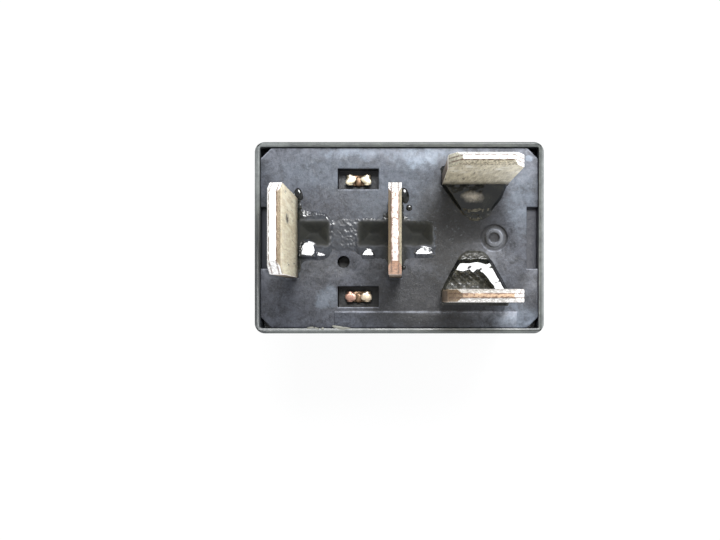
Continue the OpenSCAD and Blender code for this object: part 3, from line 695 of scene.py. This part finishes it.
def load_pour(name, node, blade_x, beds, seed, span):
    """Sealant around a load blade: a fillet on the blade, a pad around each pocket, and sloping mounds.

    Each bed is (side, top, bottom and thickness of its pad, list of mounds). Each mound is (place, half
    width, crest, run) and falls towards +Y. span is the stretch along X that this piece covers.
    """
    low_y, high_y = -LOAD_HALF - 0.2, LOAD_HALF + 0.8

    def shape(x, y):
        uneven = ripples(x, y, 2.2, seed, 2)
        away = np.maximum(np.abs(x - blade_x) - BLADE_T / 2, 0)
        area = box_distance(x, y, (blade_x, 0.35), (BLADE_T / 2 + 0.3, LOAD_HALF + 0.1), 0.4)
        pad = 0.1
        for side, high, low, thick, _ in beds:
            middle = (blade_x + side * (BLADE_T + POCKET_L + 0.2) / 2, (high + low) / 2)
            half = ((POCKET_L + 0.7) / 2, (high - low) / 2)
            area = joined(area, box_distance(x, y, middle, half, 1.3), 1.1)
            pad = np.where(side * (x - blade_x) > 0, thick, pad)
        area = area + 0.1 * uneven + 0.03 * ripples(x, y, 0.5, seed + 70, 2)
        thin_area, thin = film(x, y)
        along = fade(y, LOAD_HALF + 0.45, LOAD_HALF - 0.6) * fade(y, -LOAD_HALF, -LOAD_HALF + 1.4)
        edge = ramp(-area / 0.12) * ramp((area + 0.5) / 0.25) * fade(y, -1.2, 0.6)
        top = pad * ramp(-area / 0.45) + 0.045 * edge * ripples(x, y, 0.55, seed + 80, 3)
        fillet = 0.2 * along * np.exp(-away / 0.12) * ramp(-area / 0.4)
        top = np.maximum(top, thin) + SINK + fillet
        dull = 0.22 * ramp((area + 0.3) / 0.2) + 0.1
        area = np.minimum(area, thin_area)
        under = np.full_like(x, BURIED)
        for side, _, _, _, mounds in beds:
            u = side * (x - blade_x) - BLADE_T / 2
            middle = (blade_x + side * (BLADE_T + POCKET_L) / 2, POCKET_Y)
            depth = -box_distance(x, y, middle, (POCKET_L / 2, POCKET_HALF), 0.02)
            soft = box_distance(x, y, middle, (POCKET_L / 2 + 0.08, POCKET_HALF + 0.08), 0.3)
            soft = soft + 0.05 * ripples(x, y, 0.9, seed + 90, 2)
            wet = np.zeros_like(x)
            for place, half, crest, run in mounds:
                ragged = 1 + 0.08 * ripples(x, y, 0.9, seed + 60, 2)
                e = np.hypot((u - place) / half, np.maximum(y - crest, 0) / run) * ragged
                lean = (LIGHT_X - x / CAMERA_UP) / 2 * (place - u) * side
                rise = SLOPE * np.clip(crest + run - y, 0, run) + lean
                top = top + rise * ramp((1 - e) / 0.1) * fade(y, crest - 0.3, crest)
                wet = np.maximum(wet, ramp((1.2 - e) / 0.2))
            dull = np.maximum(dull, ramp(0.5 - soft / 0.45)) * (1 - wet)
            top = top - 0.45 * ramp((depth - 0.03) / 1.0) * (1 - wet)
            under = np.where(depth > 0.03, -POCKET_DEEP + 0.01, under)
        top = top + 0.003 * ripples(x, y, 0.8, seed + 20, 2)
        top = np.where(area < MELT, np.maximum(top, under), under)
        return top, under, dull

    return pour(name, node, (span[0], low_y), (span[1], high_y), shape)


def coil_pour(name, node, side, toe, toe_half, lean, seed, step_up, slope_run, hollow, dry):
    """Sealant heaped against a coil blade and drawn out towards the middle.

    toe and toe_half place the far end of the heap, lean moves it along X. From the toe a thin wrinkled
    film leads to a steep step of step_up, then a slope that runs up for slope_run, longer at its +X side,
    and sinks by hollow behind it. dry is how dull the toe and the hollow are.
    """
    inner = COIL_Y - BLADE_T / 2

    def shape(x, y):
        uneven = ripples(x, y, 2.4, seed, 2)
        out = side * y
        run = np.clip((inner - out) / (inner - toe), 0, 1)
        half = COIL_HALF + 0.1 + (toe_half - COIL_HALF - 0.1) * run
        across = np.abs(x - COIL_X - lean * np.sqrt(run)) - half
        corner = 0.7
        dx, dy = across + corner, toe - out + corner
        area = np.hypot(np.maximum(dx, 0), np.maximum(dy, 0)) + np.minimum(np.maximum(dx, dy), 0) - corner
        area = np.maximum(area, out - COIL_Y - BLADE_T / 2 - 0.4) + 0.08 * uneven
        back = toe + 0.75 + 0.07 * ripples(x, y, 1.1, seed + 40, 2)
        rise = step_up * ramp(fade(out, back - 0.05, back + 0.3))
        length = slope_run + 1.6 * ramp(fade(x, COIL_X + 0.2, COIL_X + 2.0))
        length = length + 0.16 * ripples(x, y, 0.6, seed + 50, 3)
        climb = SLOPE * np.clip(out - back - 0.2, 0, length)
        sink = hollow * ramp(fade(out, back + 0.2 + length, back + 1.2 + length))
        body = ramp(-area / 0.35)
        outer = ramp((COIL_Y + BLADE_T / 2 + 0.42 - out) / 0.4)
        top = (0.13 + rise + climb - sink) * body * np.where(out > COIL_Y, 0.4 * outer, 1.0) - 0.02
        wrinkle = ramp(fade(out, back + 0.1, back - 0.3))
        folds = 0.03 * wrinkle * ripples(x, y, 0.38, seed + 30, 2)
        top = top + body * (0.002 * ripples(x, y, 1.0, seed + 10, 2) + folds)
        under = np.full_like(x, BURIED)
        dull = dry * np.maximum(wrinkle, 0.7 * ramp(sink / (hollow + 0.01)))
        return np.where(area < MELT, np.maximum(top, under), under), under, dull

    y_span = sorted((side * (toe - 0.4), side * (COIL_Y + 1.0)))
    low = (COIL_X - COIL_HALF - 0.6, y_span[0])
    high = (COIL_X + COIL_HALF + 0.7, y_span[1])
    return pour(name, node, low, high, shape)


def pebble(bm, place, half, turn, seed, waves=3):
    """Adds a smooth uneven pebble, half sizes in millimetres, turned by turn degrees about Z."""
    rng = np.random.default_rng(seed)
    ring = bmesh.ops.create_icosphere(bm, subdivisions=4, radius=1.0)["verts"]
    phases = rng.uniform(0, 2 * math.pi, (waves, 3))
    spin = Matrix.Rotation(math.radians(turn), 3, "Z")
    for vert in ring:
        p = vert.co.normalized()
        swell = 1.0
        for a, b, c in phases:
            swell += 0.05 * math.sin(3 * p.x + a) * math.sin(3 * p.y + b) * math.sin(2 * p.z + c)
        square = 1 / max(abs(p.x) ** 3 + abs(p.y) ** 3 + abs(p.z) ** 3, 1e-6) ** (1 / 3)
        p = p * swell * (0.55 + 0.45 * square)
        vert.co = (spin @ Vector((p.x * half[0], p.y * half[1], p.z * half[2])) + Vector(place)) * MM


def finished(bm, name, material):
    """Turns a bmesh into a smooth piece that rides on the housing."""
    mesh = bpy.data.meshes.new(name)
    bm.to_mesh(mesh)
    bm.free()
    mesh.shade_smooth()
    mesh.materials.append(material)
    piece = bpy.data.objects.new(name, mesh)
    bpy.context.scene.collection.objects.link(piece)
    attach(piece, "housing")
    return piece


# Beads of sealant: middle, height above the face, halves and turn in degrees
BEADS = (
    (0.42, 3.35, 0.03, 0.34, 0.62, 12),
    (0.78, 2.38, 0.03, 0.24, 0.24, 0),
    (0.36, -2.35, 0.03, 0.16, 0.16, 0),
    (-7.95, 3.45, 0.03, 0.3, 0.5, 20),
    (3.75, 5.4, 0.03, 0.5, 0.32, 0),
    (7.45, 3.75, 0.25, 0.45, 0.22, 0),
)


def sealant_beads(material):
    """Small beads of sealant at the blades' feet."""
    bm = bmesh.new()
    for number, (x, y, height, half_x, half_y, turn) in enumerate(BEADS):
        pebble(bm, (x, y, FACE_Z + height), (half_x, half_y, 0.13), turn, 70 + number, 1)
    return finished(bm, "sealant_beads", material)


def stake_lobes(material):
    """The spread ends of the yoke's tabs, hammered out of shape."""
    bm = bmesh.new()
    for number, (side, lean) in enumerate(((1, 34), (-1, 6))):
        for half in (-1, 1):
            place = (WINDOW_X + half * 0.62, side * WINDOW_Y - 0.02, FACE_Z - STAKE_DOWN)
            pebble(bm, place, (0.46, 0.29 + 0.05 * number, 0.10), -half * lean, 10 * number + half + 1)
        place = (WINDOW_X, side * WINDOW_Y - 0.08, FACE_Z - STAKE_DOWN - 0.28)
        pebble(bm, place, (0.3, 0.4, 0.12), 0, 30 + number)
    return finished(bm, "stake_lobes", material)


# Crumbs of flash: place along X, shift along Y, halves and turn in degrees
FLASH = (
    (-4.75, 0.05, 0.55, 0.13, -12),
    (-4.2, 0.01, 0.35, 0.08, -6),
    (-6.05, -0.03, 0.12, 0.09, 20),
    (-7.0, 0.03, 0.28, 0.08, 8),
    (-6.5, -0.01, 0.2, 0.07, -15),
)


def mouth_flash(material):
    """Torn flash and grit along the cover's mouth."""
    bm = bmesh.new()
    wall_y = -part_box("cover")[1].y / MM + 0.42
    for number, (x, shift, half_x, half_y, turn) in enumerate(FLASH):
        pebble(bm, (x, wall_y + shift, RIM_Z - 0.03), (half_x, half_y, 0.06), turn, 50 + number)
    return finished(bm, "mouth_flash", material)


def bending_spring():
    """The contact spring's leaf, which lies between the yoke and the armature, copied to stand in for it."""
    spring = NODES["contact_spring"]
    leaf = bpy.data.objects.new("bending_leaf", spring.data.copy())
    bpy.context.scene.collection.objects.link(leaf)
    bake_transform(leaf)
    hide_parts("contact_spring")
    return leaf


# ---------------------------------------------------------------- build

make_camera()
make_world()
make_light("key", toward=(-0.11, -0.41, -0.91), strength=3.4, angle=18)
make_light("fill", toward=(-0.80, -0.12, -0.58), strength=0.6, angle=60)
make_floor()

cover_material = cover_finish()
base_material = base_finish()
common_tints = dict(TIN, high_side=(0.62, 0.50, 0.36))
common_tin = tin_finish("common_tin", "X", "Y", COMMON_X, LOAD_BEVEL, 0.1, common_tints, streaks=0.3,
                        dent=(0.9, TIP_Z - 4.4))
make_tints = dict(TIN, tip=(0.60, 0.52, 0.48), low_side=TAN, high_side=(0.66, 0.58, 0.42), low_corner=COPPER)
make_tin = tin_finish("make_tin", "X", "Y", MAKE_X, LOAD_BEVEL, 0.75, make_tints)
coil_a_tints = dict(TIN, face=(0.95, 0.90, 0.76), dull=(0.40, 0.35, 0.25), low_side=(0.80, 0.74, 0.60),
                    low_corner=KHAKI)
coil_a_tin = tin_finish("coil_a_tin", "Y", "X", COIL_Y, COIL_BEVEL, 0.15, coil_a_tints, streaks=0.85)
coil_b_tints = dict(TIN, tip=(0.42, 0.30, 0.20), low_corner=TAN)
coil_b_tin = tin_finish("coil_b_tin", "Y", "X", -COIL_Y, COIL_BEVEL, 0.8, coil_b_tints)
steel = plain_finish("steel_finish", (0.60, 0.60, 0.60), roughness=0.35, metallic=0.9, grain=0.12)
bobbin_plastic = plain_finish("bobbin_finish", (0.78, 0.74, 0.63), roughness=0.5, metallic=0.0, grain=0.2)
magnet_wire = plain_finish("wire_finish", (0.55, 0.22, 0.09), roughness=0.3, metallic=0.7, grain=0.1)
spring_metal = plain_finish("spring_finish", (0.70, 0.45, 0.24), 0.3, metallic=0.95, grain=0.1, depth=0.004)
silver = plain_finish("silver_finish", (0.82, 0.82, 0.80), 0.25, metallic=1.0, grain=0.08, depth=0.004)
film_material = film_finish()
heap_material = heap_finish()

dress("cover", cover_material, 0.15)
dress("base", base_material, 0.06)
dress("common_terminal", common_tin, 0.06)
dress("make_terminal", make_tin, 0.06)
dress("coil_terminal_a", coil_a_tin, 0.06)
dress("coil_terminal_b", coil_b_tin, 0.06)
yoke_material = yoke_finish()
dress("yoke", yoke_material, 0.05)
stake_lobes(yoke_material)
mouth_flash(plain_finish("flash_finish", (0.19, 0.19, 0.165), 0.5, 0.0, 0.1))
for name in ("core", "armature", "yoke_rivets", "armature_rivets"):
    dress(name, steel)
dress("bobbin", bobbin_plastic)
for name in ("winding", "lead_wire_a", "lead_wire_b"):
    dress(name, magnet_wire)
dress("moving_contact", silver)
dress("fixed_contact", silver)
leaf = bending_spring()
leaf.data.materials.clear()
leaf.data.materials.append(spring_metal)

meeting_x = (COMMON_X + MAKE_X) / 2
common_bed = (1, 2.2, -1.9, 0.1, [(0.8, 0.72, -1.44, 1.2), (1.7, 0.5, -1.42, 0.25)])
make_left_bed = (-1, 1.7, -1.8, 0.06, [(1.72, 0.52, -1.4, 0.55)])
make_right_bed = (1, 1.6, -1.8, 0.05, [(1.85, 0.82, -1.32, 0.66)])
films = [
    load_pour("poured_common", "sealant_common", COMMON_X, [common_bed], 3, (COMMON_X - 1.2, meeting_x)),
    load_pour("poured_make", "sealant_make", MAKE_X, [make_left_bed, make_right_bed], 5,
              (meeting_x, MAKE_X + 3.9)),
]
heaps = [
    coil_pour("poured_coil_a", "sealant_coil_a", side=1, toe=1.25, toe_half=0.8, lean=0.1, seed=7,
              step_up=0.1, slope_run=1.2, hollow=0.0, dry=0.15),
    coil_pour("poured_coil_b", "sealant_coil_b", side=-1, toe=0.95, toe_half=1.0, lean=-0.05, seed=9,
              step_up=0.32, slope_run=0.7, hollow=0.3, dry=1.0),
]
sealant_beads(heap_material)
for piece in films:
    piece.data.materials.append(film_material)
for piece in heaps:
    piece.data.materials.append(heap_material)

view = bpy.context.scene.view_settings
view.view_transform = "Standard"
